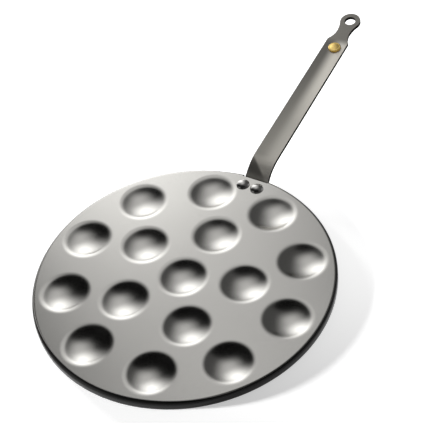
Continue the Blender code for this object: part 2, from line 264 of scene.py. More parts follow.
# Small tools for working as by hand

def deselect_everything():
    active = bpy.context.view_layer.objects.active
    if active and active.mode != "OBJECT":
        bpy.ops.object.mode_set(mode="OBJECT")
    bpy.ops.object.select_all(action="DESELECT")


def take(*pieces):
    """Select only these pieces; the first is active."""
    deselect_everything()
    for piece in pieces:
        piece.select_set(True)
    bpy.context.view_layer.objects.active = pieces[0]


def named(name):
    piece = bpy.context.view_layer.objects.active
    piece.name = name
    piece.data.name = name
    return piece


def into_edit(piece, kind="VERT"):
    take(piece)
    bpy.ops.object.mode_set(mode="EDIT")
    bpy.ops.mesh.select_mode(type=kind)


def out_of_edit():
    bpy.ops.object.mode_set(mode="OBJECT")


def pick_vertices(piece, test):
    """Select the vertices whose place passes a test, in edit mode."""
    into_edit(piece)
    bpy.ops.mesh.select_all(action="DESELECT")
    out_of_edit()
    for vertex in piece.data.vertices:
        vertex.select = bool(test(vertex.co))
    bpy.ops.object.mode_set(mode="EDIT")


def pick_edges(piece, test):
    """Select the edges whose two ends pass a test, in edit mode."""
    into_edit(piece, "EDGE")
    bpy.ops.mesh.select_all(action="DESELECT")
    out_of_edit()
    places = piece.data.vertices
    for edge in piece.data.edges:
        edge.select = bool(test(places[edge.vertices[0]].co, places[edge.vertices[1]].co))
    bpy.ops.object.mode_set(mode="EDIT")


def apply_modifier(piece, name):
    take(piece)
    bpy.ops.object.modifier_apply(modifier=name)


def face_outwards(piece):
    into_edit(piece)
    bpy.ops.mesh.select_all(action="SELECT")
    bpy.ops.mesh.normals_make_consistent(inside=False)
    out_of_edit()


def keep_place_in_mesh(piece):
    take(piece)
    bpy.ops.object.transform_apply(location=True, rotation=True, scale=True)


def arc(centre, radius, start, end, steps):
    """Points along an arc, without its first."""
    angles = [start + (end - start) * k / steps for k in range(1, steps + 1)]
    return [(centre[0] + radius * math.cos(a), centre[1] + radius * math.sin(a)) for a in angles]


def draw_rings(centre, profile, sides):
    """Draw a circle and pull it through a profile of (radius, height), ring by ring."""
    (radius, height), rest = profile[0], profile[1:]
    deselect_everything()
    bpy.ops.mesh.primitive_circle_add(vertices=sides, radius=radius, fill_type="NOTHING",
                                      location=(centre[0], centre[1], height))
    ring = bpy.context.view_layer.objects.active
    keep_place_in_mesh(ring)
    bpy.ops.object.mode_set(mode="EDIT")
    bpy.ops.mesh.select_mode(type="EDGE")
    bpy.ops.mesh.select_all(action="SELECT")
    for wider, higher in rest:
        bpy.ops.mesh.extrude_region_move(
            TRANSFORM_OT_translate={"value": (0, 0, higher - height)})
        if wider > 1e-6:
            factor = wider / radius
            bpy.ops.transform.resize(value=(factor, factor, 1),
                                     center_override=(centre[0], centre[1], higher))
            radius = wider
        else:
            bpy.ops.mesh.merge(type="CENTER")
        height = higher
    out_of_edit()
    return ring


def turn_piece(name, profile, sides):
    """A closed turned piece round the Z axis; its profile starts and ends on the axis."""
    first = max(profile[1][0] * 0.25, 1e-4)
    piece = draw_rings((0, 0), [(first, profile[0][1])] + profile[1:], sides)
    low = profile[0][1]
    pick_vertices(piece, lambda co: abs(co.z - low) < 1e-7 and co.xy.length < first * 1.01)
    bpy.ops.mesh.edge_face_add()
    out_of_edit()
    piece.name = name
    piece.data.name = name
    face_outwards(piece)
    return piece


def dome(radius, low, high, steps):
    """Profile of a cap from its rim up to the axis."""
    rise = high - low
    bend = (radius ** 2 + rise ** 2) / (2 * rise)
    reach = math.asin(min(1.0, radius / bend))
    angles = [reach * (steps - k) / steps for k in range(steps + 1)]
    return [(bend * math.sin(a), high - bend * (1 - math.cos(a))) for a in angles]


# Pressed plate

def cup_profile(sizes):
    """Cup from a narrow flat margin through lip, wall and corner to the middle."""
    tilt = 2 * math.atan(sizes.floor_dish / sizes.floor_radius)
    floor_bend = (sizes.floor_radius ** 2 + sizes.floor_dish ** 2) / (2 * sizes.floor_dish)
    floor_edge = (sizes.floor_radius, sizes.floor_dish - sizes.cup_depth)
    lip = (sizes.lip_radius, -sizes.lip_bend)
    gap = (floor_edge[0] - lip[0], floor_edge[1] - lip[1])
    along = math.cos(tilt) * gap[1] - math.sin(tilt) * gap[0]
    largest = (gap[0] ** 2 + gap[1] ** 2 - lip[1] ** 2) / (2 * (sizes.lip_bend - along))
    bend = min(sizes.corner_bend, largest)
    corner = (floor_edge[0] - bend * math.sin(tilt), floor_edge[1] + bend * math.cos(tilt))
    across, down = lip[0] - corner[0], corner[1] - lip[1]
    reach = math.hypot(across, down)
    wall = math.atan2(across, down) - math.acos(min(1.0, (bend + sizes.lip_bend) / reach))
    points = [(sizes.lip_radius + FLAT_MARGIN, 0.0), (sizes.lip_radius, 0.0)]
    points += arc(lip, sizes.lip_bend, QUARTER, QUARTER + wall, 7)
    points += [(corner[0] + bend * math.sin(wall), corner[1] - bend * math.cos(wall))]
    points += arc(corner, bend, wall - QUARTER, tilt - QUARTER, 7)
    middle = (0.0, floor_bend - sizes.cup_depth)
    points += arc(middle, floor_bend, tilt - QUARTER, -QUARTER, 6)[:-1]
    return [(r, sizes.top + z) for r, z in points] + [(0.0, sizes.top - sizes.cup_depth)]


def edge_profile(sizes):
    """Edge from a narrow flat margin over the bend and down to the skirt's foot."""
    inner = sizes.radius - sizes.edge_bend
    points = [(inner - FLAT_MARGIN, 0.0), (inner, 0.0)]
    points += arc((inner, -sizes.edge_bend), sizes.edge_bend, QUARTER, 0, 10)
    foot = sizes.skirt_lift - sizes.top
    points += [(sizes.radius, (foot - sizes.edge_bend) / 2), (sizes.radius, foot)]
    return [(r, sizes.top + z) for r, z in points]


def cup_places(sizes):
    inner_ring = sizes.outer_ring / (2 * math.cos(math.pi / 10))
    places = [(0.0, 0.0)]
    for count, radius, start in ((5, inner_ring, 0.0), (10, sizes.outer_ring, math.pi / 10)):
        for k in range(count):
            angle = sizes.pattern_turn + start + 2 * math.pi * k / count
            places.append((radius * math.cos(angle), radius * math.sin(angle)))
    return places


def press_cups(sizes):
    """Model one cup and copy it to every place in the pattern."""
    first = draw_rings((0, 0), cup_profile(sizes), sizes.cup_sides)
    cups = [first]
    for x, y in cup_places(sizes)[1:]:
        take(first)
        bpy.ops.object.duplicate_move(TRANSFORM_OT_translate={"value": (x, y, 0)})
        cup = bpy.context.view_layer.objects.active
        keep_place_in_mesh(cup)
        cups.append(cup)
    return cups


def cut_openings(plate, sizes, fixings):
    """Open the skirt for the handle and drill both rivet holes."""
    deselect_everything()
    inner = sizes.radius - sizes.edge_bend - sizes.notch_inset
    outer = sizes.radius + 0.002
    high, low = sizes.top + 0.001, -0.001
    bpy.ops.mesh.primitive_cube_add(size=1, location=((inner + outer) / 2, 0, (high + low) / 2))
    block = named("notch_block")
    bpy.ops.transform.resize(value=(outer - inner, sizes.notch_width, high - low))
    keep_place_in_mesh(block)
    cutters = [block]
    for side in (-1, 1):
        deselect_everything()
        bpy.ops.mesh.primitive_cylinder_add(
            vertices=48, radius=fixings.rivet_shank + HOLE_GAP, depth=3 * sizes.sheet,
            location=(fixings.rivet_x, rivet_side(fixings, side), sizes.top - 0.001))
        cutters.append(named("rivet_drill"))
    take(*cutters)
    bpy.ops.object.join()
    keep_place_in_mesh(block)
    cut_with(plate, block)


def rivet_side(fixings, side):
    """Y of the left (1) or right (-1) rivet."""
    return fixings.rivet_offset + side * fixings.rivet_pitch / 2


def cut_with(piece, cutter):
    cut = piece.modifiers.new("cut", "BOOLEAN")
    cut.operation = "DIFFERENCE"
    cut.solver = "EXACT"
    cut.object = cutter
    apply_modifier(piece, "cut")
    bpy.data.objects.remove(cutter, do_unlink=True)


def press_plate(sizes, fixings):
    cups = press_cups(sizes)
    edge = draw_rings((0, 0), edge_profile(sizes), sizes.edge_sides)
    take(edge, *cups)
    bpy.ops.object.join()
    plate = named("pressed_plate")
    pick_edges(plate, lambda a, b: is_margin(a, b, sizes))
    bpy.ops.mesh.fill(use_beauty=True)
    out_of_edit()
    into_edit(plate)
    bpy.ops.mesh.select_all(action="SELECT")
    bpy.ops.mesh.remove_doubles(threshold=1e-6)
    bpy.ops.mesh.normals_make_consistent(inside=False)
    out_of_edit()
    if max(plate.data.polygons, key=lambda face: face.area).normal.z < 0:
        into_edit(plate)
        bpy.ops.mesh.select_all(action="SELECT")
        bpy.ops.mesh.flip_normals()
        out_of_edit()
    wall = plate.modifiers.new("sheet", "SOLIDIFY")
    wall.thickness = sizes.sheet
    wall.offset = -1
    wall.use_even_offset = True
    apply_modifier(plate, "sheet")
    into_edit(plate)
    bpy.ops.mesh.select_all(action="SELECT")
    bpy.ops.mesh.bisect(plane_co=(0, 0, 0), plane_no=(0, 0, 1), use_fill=True, clear_inner=True,
                        threshold=1e-6)
    out_of_edit()
    foot = sizes.skirt_lift
    pick_edges(plate, lambda a, b: max(abs(a.z - foot), abs(b.z - foot)) < 2e-6
               and abs(a.xy.length - b.xy.length) < 1e-4)
    bpy.ops.mesh.bevel(offset=0.0004, segments=2, affect="EDGES")
    out_of_edit()
    cut_openings(plate, sizes, fixings)
    face_outwards(plate)
    take(plate)
    bpy.ops.object.shade_smooth_by_angle(angle=SHEET_SMOOTHING)
    return plate


def is_margin(a, b, sizes):
    """True for the open edges in the plate's top plane, round each cup and inside the rim."""
    if max(abs(a.z - sizes.top), abs(b.z - sizes.top)) > 1e-6:
        return False
    inside = sizes.radius - sizes.edge_bend - FLAT_MARGIN
    if max(abs(a.xy.length - inside), abs(b.xy.length - inside)) < 1e-5:
        return True
    margin = sizes.lip_radius + FLAT_MARGIN
    return any(max(abs(math.hypot(a.x - x, a.y - y) - margin),
                   abs(math.hypot(b.x - x, b.y - y) - margin)) < 1e-5
               for x, y in cup_places(sizes))


# Strip handle

def strip_outline(sizes):
    """Half-widths along the flat strip, from the tab's end to the tip, as (along, half)."""
    eye_at = strip_length_to_eye(sizes)
    foot, shoulder = sizes.foot_width / 2, sizes.shoulder_width / 2
    neck_at, neck = eye_at - sizes.neck_to_eye, sizes.neck_width / 2
    points = [(0.00002, foot - sizes.tab_corner + 0.0003)]
    points += arc((sizes.tab_corner, foot - sizes.tab_corner), sizes.tab_corner,
                  math.pi, QUARTER, 6)
    rise, back = bend_lengths(sizes)
    turn = math.asin((neck + sizes.shoulder_arc - shoulder) / sizes.shoulder_arc)
    waist = arc((neck_at, neck + sizes.shoulder_arc), sizes.shoulder_arc,
                math.pi + turn, 3 * QUARTER, 10)
    corner_at = neck_at - sizes.shoulder_arc * math.cos(turn)

    def half(along):
        share = (along - sizes.tab_corner) / (corner_at - sizes.tab_corner)
        return foot + (shoulder - foot) * share

    stations = [sizes.tab_length * 0.6, sizes.tab_length - 0.001]
    stations += [sizes.tab_length + rise * k / RISE_CREASES for k in range(RISE_CREASES + 1)]
    stations += [sizes.tab_length + rise + back * k / BACK_CREASES
                 for k in range(1, BACK_CREASES + 1)]
    start = stations[-1]
    stations += [start + (corner_at - 0.0012 - start) * k / 12 for k in range(1, 13)]
    points += [(s, half(s)) for s in stations]
    points += [(corner_at - 0.0005, half(corner_at) - 0.00008),
               (corner_at + 0.0001, half(corner_at) - 0.0004)]
    points += [p for p in waist if p[0] > corner_at + 0.0006]
    bend = ((sizes.neck_to_eye ** 2 + neck ** 2 - sizes.eye_radius ** 2)
            / (2 * (sizes.eye_radius - neck)))
    touch = math.atan2(neck + bend, -sizes.neck_to_eye)
    points += arc((neck_at, neck + bend), bend, 3 * QUARTER, math.pi + touch, 7)
    points += arc((eye_at, 0), sizes.eye_radius, touch, 0.03, 26)
    return points


def bend_lengths(sizes):
    """Lengths of strip in the upward and in the backward bend."""
    return (sizes.rise_bend * sizes.rise_angle,
            sizes.back_bend * (sizes.rise_angle - sizes.slope))


def strip_length_to_eye(sizes):
    rise, back = bend_lengths(sizes)
    return sizes.tab_length + rise + back + sizes.straight


def lay_out_strip(sizes):
    """Pull the tab's end edge along the strip, widening and narrowing it as it goes."""
    outline = strip_outline(sizes)
    deselect_everything()
    bpy.ops.mesh.primitive_grid_add(x_subdivisions=1, y_subdivisions=10, size=1,
                                    location=(0, 0, 0))
    strip = named("strip_handle")
    (first, half), (second, wider) = outline[0], outline[1]
    bpy.ops.transform.resize(value=(second - first, 2 * half, 1))
    bpy.ops.transform.translate(value=((first + second) / 2, 0, 0))
    keep_place_in_mesh(strip)
    pick_vertices(strip, lambda co: abs(co.x - second) < 1e-6)
    bpy.ops.transform.resize(value=(1, wider / half, 1), center_override=(second, 0, 0))
    bpy.ops.mesh.select_mode(type="EDGE")
    along, width = second, wider
    for next_along, next_width in outline[2:]:
        bpy.ops.mesh.extrude_region_move(
            TRANSFORM_OT_translate={"value": (next_along - along, 0, 0)})
        bpy.ops.transform.resize(value=(1, next_width / width, 1),
                                 center_override=(next_along, 0, 0))
        along, width = next_along, next_width
    bpy.ops.mesh.select_all(action="SELECT")
    bpy.ops.mesh.normals_make_consistent(inside=False)
    bpy.ops.mesh.extrude_region_move(
        TRANSFORM_OT_translate={"value": (0, 0, -sizes.thickness)})
    out_of_edit()
    face_outwards(strip)
    return strip


def punch_strip(strip, sizes, fixings):
    """Punch the eye, the rivet holes and the stud's hole out of the flat strip."""
    eye_at = strip_length_to_eye(sizes)
    rivet_at = fixings.rivet_x - sizes.tab_start
    punches = ((eye_at, 0, sizes.eye_hole, 96),
               (eye_at - fixings.stud_to_eye, fixings.stud_offset,
                fixings.stud_shank + HOLE_GAP, 32),
               (rivet_at, rivet_side(fixings, 1), fixings.rivet_shank + HOLE_GAP, 32),
               (rivet_at, rivet_side(fixings, -1), fixings.rivet_shank + HOLE_GAP, 32))
    made = []
    for x, y, radius, sides in punches:
        deselect_everything()
        bpy.ops.mesh.primitive_cylinder_add(vertices=sides, radius=radius, depth=0.02,
                                            location=(x, y, 0))
        punch = named("punch")
        keep_place_in_mesh(punch)
        made.append(punch)
    take(*made)
    bpy.ops.object.join()
    cut_with(strip, made[0])


def round_strip_edges(strip, sizes):
    rounding = strip.modifiers.new("rounding", "BEVEL")
    rounding.width = sizes.edge_round
    rounding.segments = 3
    rounding.limit_method = "ANGLE"
    rounding.angle_limit = math.radians(50)
    rounding.use_clamp_overlap = True
    apply_modifier(strip, "rounding")


def hollow_strip(strip, sizes, fixings):
    """Press the strip slightly hollow across its width, between the skirt and the stud."""
    stud_at = strip_length_to_eye(sizes) - fixings.stud_to_eye
    start, end = sizes.tab_length + 0.003, stud_at - fixings.stud_radius - 0.002
    hollow = strip.vertex_groups.new(name="hollow")
    for vertex in strip.data.vertices:
        along, side = vertex.co.x, vertex.co.y / (sizes.foot_width / 2)
        fade = min(1.0, (along - start) / 0.010, (end - along) / 0.030)
        if fade > 0:
            hollow.add([vertex.index], max(0.0, 1 - side ** 2) * fade, "REPLACE")
    press = strip.modifiers.new("hollow", "DISPLACE")
    press.direction = "Z"
    press.mid_level = 0
    press.strength = -sizes.hollow
    press.vertex_group = "hollow"
    apply_modifier(strip, "hollow")


def bend_strip(strip, sizes):
    """Turn everything past each crease a few degrees, crease by crease."""
    rise, back = bend_lengths(sizes)
    creases = []
    for start, length, whole, count in (
            (sizes.tab_length, rise, sizes.rise_angle, RISE_CREASES),
            (sizes.tab_length + rise, back, -(sizes.rise_angle - sizes.slope), BACK_CREASES)):
        for k in range(count + 1):
            at_end = 0.5 if k in (0, count) else 1
            creases.append((start + length * k / count, whole / count * at_end))
    flat = [vertex.co.x for vertex in strip.data.vertices]
    place, slope, last = Vector((0.0, 0.0, 0.0)), 0.0, 0.0
    for crease, angle in creases:
        place = place + Vector((math.cos(slope), 0, math.sin(slope))) * (crease - last)
        last = crease
        turn_past(strip, flat, crease + 2e-5, place, angle / 2)
        turn_past(strip, flat, crease - 2e-5, place, angle / 2)
        slope += angle
    take(strip)
    bpy.ops.transform.translate(value=(sizes.tab_start, 0, sizes.tab_top))
    keep_place_in_mesh(strip)


def turn_past(strip, flat, crease, place, angle):
    into_edit(strip)
    bpy.ops.mesh.select_all(action="DESELECT")
    out_of_edit()
    for along, vertex in zip(flat, strip.data.vertices):
        vertex.select = along > crease
    bpy.ops.object.mode_set(mode="EDIT")
    bpy.ops.transform.rotate(value=angle, orient_axis="Y", orient_type="GLOBAL",
                             center_override=place)
    out_of_edit()


def make_strip_handle(sizes, fixings):
    strip = lay_out_strip(sizes)
    punch_strip(strip, sizes, fixings)
    round_strip_edges(strip, sizes)
    hollow_strip(strip, sizes, fixings)
    bend_strip(strip, sizes)
    face_outwards(strip)
    take(strip)
    bpy.ops.object.shade_smooth_by_angle(angle=SHEET_SMOOTHING)
    even = strip.modifiers.new("even shading", "WEIGHTED_NORMAL")
    even.keep_sharp = True
    apply_modifier(strip, "even shading")
    return strip


def point_on_strip(sizes, along):
    """Place and slope of the strip's top face, past its bends."""
    rise, back = bend_lengths(sizes)
    up, level = sizes.rise_angle, sizes.slope
    x = sizes.tab_start + sizes.tab_length + sizes.rise_bend * math.sin(up)
    z = sizes.tab_top + sizes.rise_bend * (1 - math.cos(up))
    x += sizes.back_bend * (math.sin(up) - math.sin(level))
    z += sizes.back_bend * (math.cos(level) - math.cos(up))
    left = along - sizes.tab_length - rise - back
    return x + left * math.cos(level), z + left * math.sin(level)


# Rivets and stud

def rivet_profile(fixings, plate, handle):
    seat = fixings.seat
    tail_top = -plate.sheet - 2 * seat - handle.thickness
    tail_low = tail_top - RIVET_TAIL_HEIGHT
    tail, shank = fixings.rivet_tail, fixings.rivet_shank
    points = [(0.0, tail_low), (tail * 0.55, tail_low), (tail * 0.82, tail_low + 0.00008)]
    points += [(tail * 0.95, tail_low + 0.0003), (tail, tail_low + 0.0007), (tail, tail_top)]
    points += [(shank, tail_top), (shank, seat), (fixings.rivet_radius - 0.0004, seat)]
    points += [(fixings.rivet_radius - 0.0001, seat + 0.00012)]
    return points + dome(fixings.rivet_radius, seat + 0.0004, seat + fixings.rivet_height, 18)


def stud_profile(fixings, handle):
    seat = fixings.seat
    tail_top = -handle.thickness - seat
    tail_low = tail_top - STUD_TAIL_HEIGHT
    tail, shank, head = fixings.stud_tail, fixings.stud_shank, fixings.stud_radius
    points = [(0.0, tail_low), (tail * 0.7, tail_low), (tail * 0.92, tail_low + 0.0002)]
    points += [(tail, tail_low + 0.0005), (tail, tail_top), (shank, tail_top), (shank, 0.00005)]
    points += [(head - 0.0002, 0.00005), (head, 0.00025), (head, seat + 0.0007)]
    high = seat + fixings.stud_height
    points += [(head - 0.0001, high - 0.0011), (head - 0.0004, high - 0.0007)]
    points += [(head - 0.0008, high - 0.0005), (head - 0.0012, high - 0.0005)]
    points += dome(head - 0.0014, high - 0.00055, high, 12)
    return points


# Metals

def start_material(name):
    made = bpy.data.materials.new(name)
    made.use_nodes = True
    tree = made.node_tree
    return made, tree, tree.nodes["Principled BSDF"]


def add(tree, kind, **settings):
    node = tree.nodes.new(kind)
    for key, value in settings.items():
        setattr(node, key, value)
    return node


def start_stage_material(name):
    """Material with nothing but its output, for the things round the pan."""
    made = bpy.data.materials.new(name)
    made.use_nodes = True
    made.node_tree.nodes.clear()
    return made, made.node_tree, add(made.node_tree, "ShaderNodeOutputMaterial")


def axes(tree, vector):
    """X, Y and Z sockets of a vector."""
    split = add(tree, "ShaderNodeSeparateXYZ")
    tree.links.new(vector, split.inputs["Vector"])
    return split.outputs


def noise(tree, vector, scale, detail=3.0, roughness=0.5, stretch=(1, 1, 1)):
    """Noise on object coordinates, stretched along a direction; gives its factor socket."""
    place = add(tree, "ShaderNodeMapping")
    place.inputs["Scale"].default_value = stretch
    tree.links.new(vector, place.inputs["Vector"])
    made = add(tree, "ShaderNodeTexNoise")
    made.inputs["Scale"].default_value = scale
    made.inputs["Detail"].default_value = detail
    made.inputs["Roughness"].default_value = roughness
    tree.links.new(place.outputs["Vector"], made.inputs["Vector"])
    return made.outputs["Fac"]


def spread(tree, value, low, high, start=0.3, end=0.7, smooth=False):
    """Map a factor from start..end to low..high."""
    ramp = add(tree, "ShaderNodeMapRange")
    ramp.interpolation_type = "SMOOTHSTEP" if smooth else "LINEAR"
    ramp.inputs["From Min"].default_value = start
    ramp.inputs["From Max"].default_value = end
    ramp.inputs["To Min"].default_value = low
    ramp.inputs["To Max"].default_value = high
    tree.links.new(value, ramp.inputs["Value"])
    return ramp.outputs["Result"]


def math_node(tree, operation, first, second=None):
    node = add(tree, "ShaderNodeMath", operation=operation)
    for socket, value in zip(node.inputs, (first, second)):
        if isinstance(value, (int, float)):
            socket.default_value = value
        elif value is not None:
            tree.links.new(value, socket)
    return node.outputs["Value"]


def blend_colours(tree, factor, first, second, mode="MIX"):
    node = add(tree, "ShaderNodeMix", data_type="RGBA", blend_type=mode)
    for socket, value in ((node.inputs["Factor"], factor), (node.inputs[6], first),
                          (node.inputs[7], second)):
        if isinstance(value, (int, float)):
            socket.default_value = value
        elif isinstance(value, (tuple, list)):
            socket.default_value = (*value[:3], 1.0)
        else:
            tree.links.new(value, socket)
    return node.outputs[2]


def mix_values(tree, factor, first, second):
    node = add(tree, "ShaderNodeMix", data_type="FLOAT")
    for socket, value in zip(node.inputs[:1] + node.inputs[2:4], (factor, first, second)):
        if isinstance(value, (int, float)):
            socket.default_value = value
        else:
            tree.links.new(value, socket)
    return node.outputs[0]


def tint(colour, factor):
    return tuple(min(1.0, channel * factor) for channel in colour)


def brushed_steel(name, colour, edge_finish_and_shade_colour, roughness, edge_finish_and_shade_mask, grain, edge_gloss,
                  shading=None):
    """Rolled steel with faint cloudy patches, a fine grain and darker cut or turned edges, whose
    darkness is partly their finish and partly painted dark reflection; shading multiplies in
    painted reflection and shade.
    """
    made, tree, shader = start_material(name)
    place = add(tree, "ShaderNodeTexCoord").outputs["Object"]
    clouds = noise(tree, place, 14, 4.0, 0.55)
    fine = noise(tree, place, 420, 3.0, 0.6, grain)
    specks = noise(tree, place, 900, 2.0, 0.5)
    tone = blend_colours(tree, spread(tree, clouds, 0, 1), tint(colour, 0.94), tint(colour, 1.05))
    tone = blend_colours(tree, spread(tree, fine, 0, 1), tone, tuple(colour))
    # painted reflection and shade, multiplied into the steel's tone
    if shading:
        tone = blend_colours(tree, 1.0, tone, shading(tree, place), "MULTIPLY")
    # the edges' own darker finish together with painted dark reflection
    mask = edge_finish_and_shade_mask(tree, place)
    dark = blend_colours(tree, spread(tree, clouds, 0, 1), tint(edge_finish_and_shade_colour, 0.7),
                         tint(edge_finish_and_shade_colour, 1.3))
    tone = blend_colours(tree, mask, tone, dark)
    tree.links.new(tone, shader.inputs["Base Color"])
    shader.inputs["Specular IOR Level"].default_value = edge_gloss
    tree.links.new(spread(tree, mask, 1.0, 0.0, 0.0, 1.0), shader.inputs["Metallic"])
    rough = math_node(tree, "ADD", spread(tree, clouds, roughness - 0.008, roughness + 0.01),
                      spread(tree, specks, -0.006, 0.006))
    tree.links.new(rough, shader.inputs["Roughness"])
    bump = add(tree, "ShaderNodeBump")
    bump.inputs["Strength"].default_value = 0.02
    bump.inputs["Distance"].default_value = 0.00004
    tree.links.new(fine, bump.inputs["Height"])
    tree.links.new(bump.outputs["Normal"], shader.inputs["Normal"])
    made.diffuse_color = (*colour, 1.0)
    return made


def skirt_finish_and_shade_mask(radius, top, bend):
    """One on the skirt, nought on the plate's top; it reaches further in far from the handle, as
    painted shade on the edge bend at the far left.
    """
    starts, full = radius - bend + 0.0004, radius - bend + 0.0018

    def mask(tree, place):
        split = axes(tree, place)
        squares = [math_node(tree, "MULTIPLY", split[axis], split[axis]) for axis in "XY"]
        # painted shade: the dark band reaches further onto the edge bend towards the far left
        wider = spread(tree, split["X"], 0.0016, 0.0, -0.130, -0.090, True)
        reach = math_node(tree, "SQRT", math_node(tree, "ADD", *squares))
        return spread(tree, math_node(tree, "ADD", reach, wider), 0.0, 1.0, starts, full, True)
    return mask


def side_mask(tree, place):
    """One on upright cut faces, nought on faces that look up or down."""
    facing = add(tree, "ShaderNodeTexCoord").outputs["Normal"]
    level = math_node(tree, "ABSOLUTE", axes(tree, facing)["Z"])
    return spread(tree, level, 1.0, 0.0, 0.3, 0.6, True)


def strip_painted_light(tree, place):
    """Painted reflection and shade: darker on the left and towards the stud, brighter on the
    right.

    The base of the strip, up to its back bend, has a painted slanting line between shade and lit.
    """
    split = axes(tree, place)
    along, side = split["X"], split["Y"]
    left = spread(tree, along, 0.90, 0.45, 0.165, 0.300)
    right = spread(tree, along, 1.20, 2.20, 0.200, 0.300)
    across = spread(tree, side, 1.0, 0.0, -0.0065, 0.0055, True)
    body = mix_values(tree, across, left, right)
    slant = math_node(tree, "SUBTRACT", math_node(tree, "MULTIPLY", along, 1.15), side)
    lit = spread(tree, slant, 0.0, 1.0, 0.1609, 0.1649, True)
    bright = math_node(tree, "MULTIPLY", spread(tree, along, 2.40, 1.75, 0.141, 0.150),
                       spread(tree, along, 0.45, 1.0, 0.136, 0.141, True))
    base = mix_values(tree, lit, 0.72, bright)
    body = mix_values(tree, spread(tree, along, 0.0, 1.0, 0.147, 0.157, True), base, body)
    past_stud = spread(tree, along, 0.0, 1.0, 0.304, 0.314, True)
    shade = mix_values(tree, past_stud, body, 0.75)
    grey = add(tree, "ShaderNodeCombineColor")
    for channel in ("Red", "Green", "Blue"):
        tree.links.new(shade, grey.inputs[channel])
    return grey.outputs["Color"]


def polished_metal(name, colour, roughness, spots, wall_shade_colour=None):
    """Turned metal, a little clouded; its upright wall can take a darker colour, painted shade
    where the wall mirrors the dark room.
    """
    made, tree, shader = start_material(name)
    place = add(tree, "ShaderNodeTexCoord").outputs["Object"]
    clouds = noise(tree, place, spots, 4.0, 0.6)
    fine = noise(tree, place, spots * 9, 2.0, 0.5)
    tone = blend_colours(tree, spread(tree, clouds, 0, 1), tint(colour, 0.86), tint(colour, 1.04))
    # painted shade on the upright wall
    if wall_shade_colour:
        tone = blend_colours(tree, side_mask(tree, place), tone, tuple(wall_shade_colour))
    tree.links.new(tone, shader.inputs["Base Color"])
    shader.inputs["Metallic"].default_value = 1.0
    tree.links.new(spread(tree, fine, roughness - 0.03, roughness + 0.04),
                   shader.inputs["Roughness"])
    bump = add(tree, "ShaderNodeBump")
    bump.inputs["Strength"].default_value = 0.03
    bump.inputs["Distance"].default_value = 0.00004
    tree.links.new(clouds, bump.inputs["Height"])
    tree.links.new(bump.outputs["Normal"], shader.inputs["Normal"])
    made.diffuse_color = (*colour, 1.0)
    return made


def dress(piece, material, slot, *nodes):
    piece.data.materials.clear()
    piece.data.materials.append(material)
    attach(piece, "root")
    if nodes:
        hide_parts(*nodes)


# Studio

def only_in_reflections(piece):
    piece.visible_camera = False
    piece.visible_diffuse = False
    piece.visible_shadow = False
    piece.visible_volume_scatter = False


def seen_or_mirrored(tree):
    """One for camera, glossy and transmission rays."""
    path = add(tree, "ShaderNodeLightPath")
    both = math_node(tree, "MAXIMUM", path.outputs["Is Camera Ray"],
                     path.outputs["Is Glossy Ray"])
    return math_node(tree, "MAXIMUM", both, path.outputs["Is Transmission Ray"])


def lay_paper(studio):
    """Pale paper under the pan: it keeps the shadow and looks white outside it."""
    deselect_everything()
    bpy.ops.mesh.primitive_plane_add(size=12, location=(0, 0, 0))
    paper = named("paper_floor")
    made, tree, output = start_stage_material("white_paper")
    matte = add(tree, "ShaderNodeBsdfDiffuse")
    matte.inputs["Color"].default_value = (PAPER_SHADE, PAPER_SHADE, PAPER_SHADE, 1)
    along = axes(tree, add(tree, "ShaderNodeTexCoord").outputs["Object"])["X"]
    # the glow rises along X from paper_left to paper_right and turns white at the far left:
    # painted light that lightens the pan's shadow towards the handle
    near = spread(tree, along, studio.paper_left, studio.paper_right, -0.16, 0.12, True)
    far = spread(tree, along, 1.0, 0.0, -0.22, -0.13, True)
    glow = add(tree, "ShaderNodeEmission")
    tree.links.new(math_node(tree, "MULTIPLY", seen_or_mirrored(tree),
                             math_node(tree, "MAXIMUM", near, far)), glow.inputs["Strength"])
    both = add(tree, "ShaderNodeAddShader")
    tree.links.new(matte.outputs["BSDF"], both.inputs[0])
    tree.links.new(glow.outputs["Emission"], both.inputs[1])
    tree.links.new(both.outputs["Shader"], output.inputs["Surface"])
    paper.data.materials.append(made)


def hang_card(name, distance, azimuth, elevation, yaw, pitch, half_width, half_height, soft, glow):
    """A softly lit card that only the metal's reflections see."""
    place = Vector((math.cos(elevation) * math.cos(azimuth),
                    math.cos(elevation) * math.sin(azimuth), math.sin(elevation))) * distance
    outward = Vector((math.cos(pitch) * math.cos(yaw), math.cos(pitch) * math.sin(yaw),
                      math.sin(pitch)))
    across = Vector((-math.sin(yaw), math.cos(yaw), 0))
    deselect_everything()
    bpy.ops.mesh.primitive_plane_add(size=2)
    card = named(name)
    card.scale = (half_width + 4 * soft, half_height + 4 * soft, 1)
    bpy.ops.object.transform_apply(location=False, rotation=False, scale=True)
    card.matrix_world = Matrix.Translation(place) @ Matrix(
        (across, outward.cross(across), outward)).transposed().to_4x4()
    made, tree, output = start_stage_material(name)
    light = add(tree, "ShaderNodeEmission")
    split = axes(tree, add(tree, "ShaderNodeTexCoord").outputs["Object"])
    fade = []
    for axis, half in (("X", half_width), ("Y", half_height)):
        reach = math_node(tree, "ABSOLUTE", split[axis])
        fade.append(spread(tree, reach, 1.0, 0.0, half - 3 * soft, half + 3 * soft, True))
    level = math_node(tree, "MULTIPLY", fade[0], fade[1])
    tree.links.new(math_node(tree, "MULTIPLY", level, glow), light.inputs["Strength"])
    clear = add(tree, "ShaderNodeBsdfTransparent")
    both = add(tree, "ShaderNodeAddShader")
    tree.links.new(light.outputs["Emission"], both.inputs[0])
    tree.links.new(clear.outputs["BSDF"], both.inputs[1])
    tree.links.new(both.outputs["Shader"], output.inputs["Surface"])
    made.cycles.emission_sampling = "FRONT_BACK"
    card.data.materials.append(made)
    only_in_reflections(card)


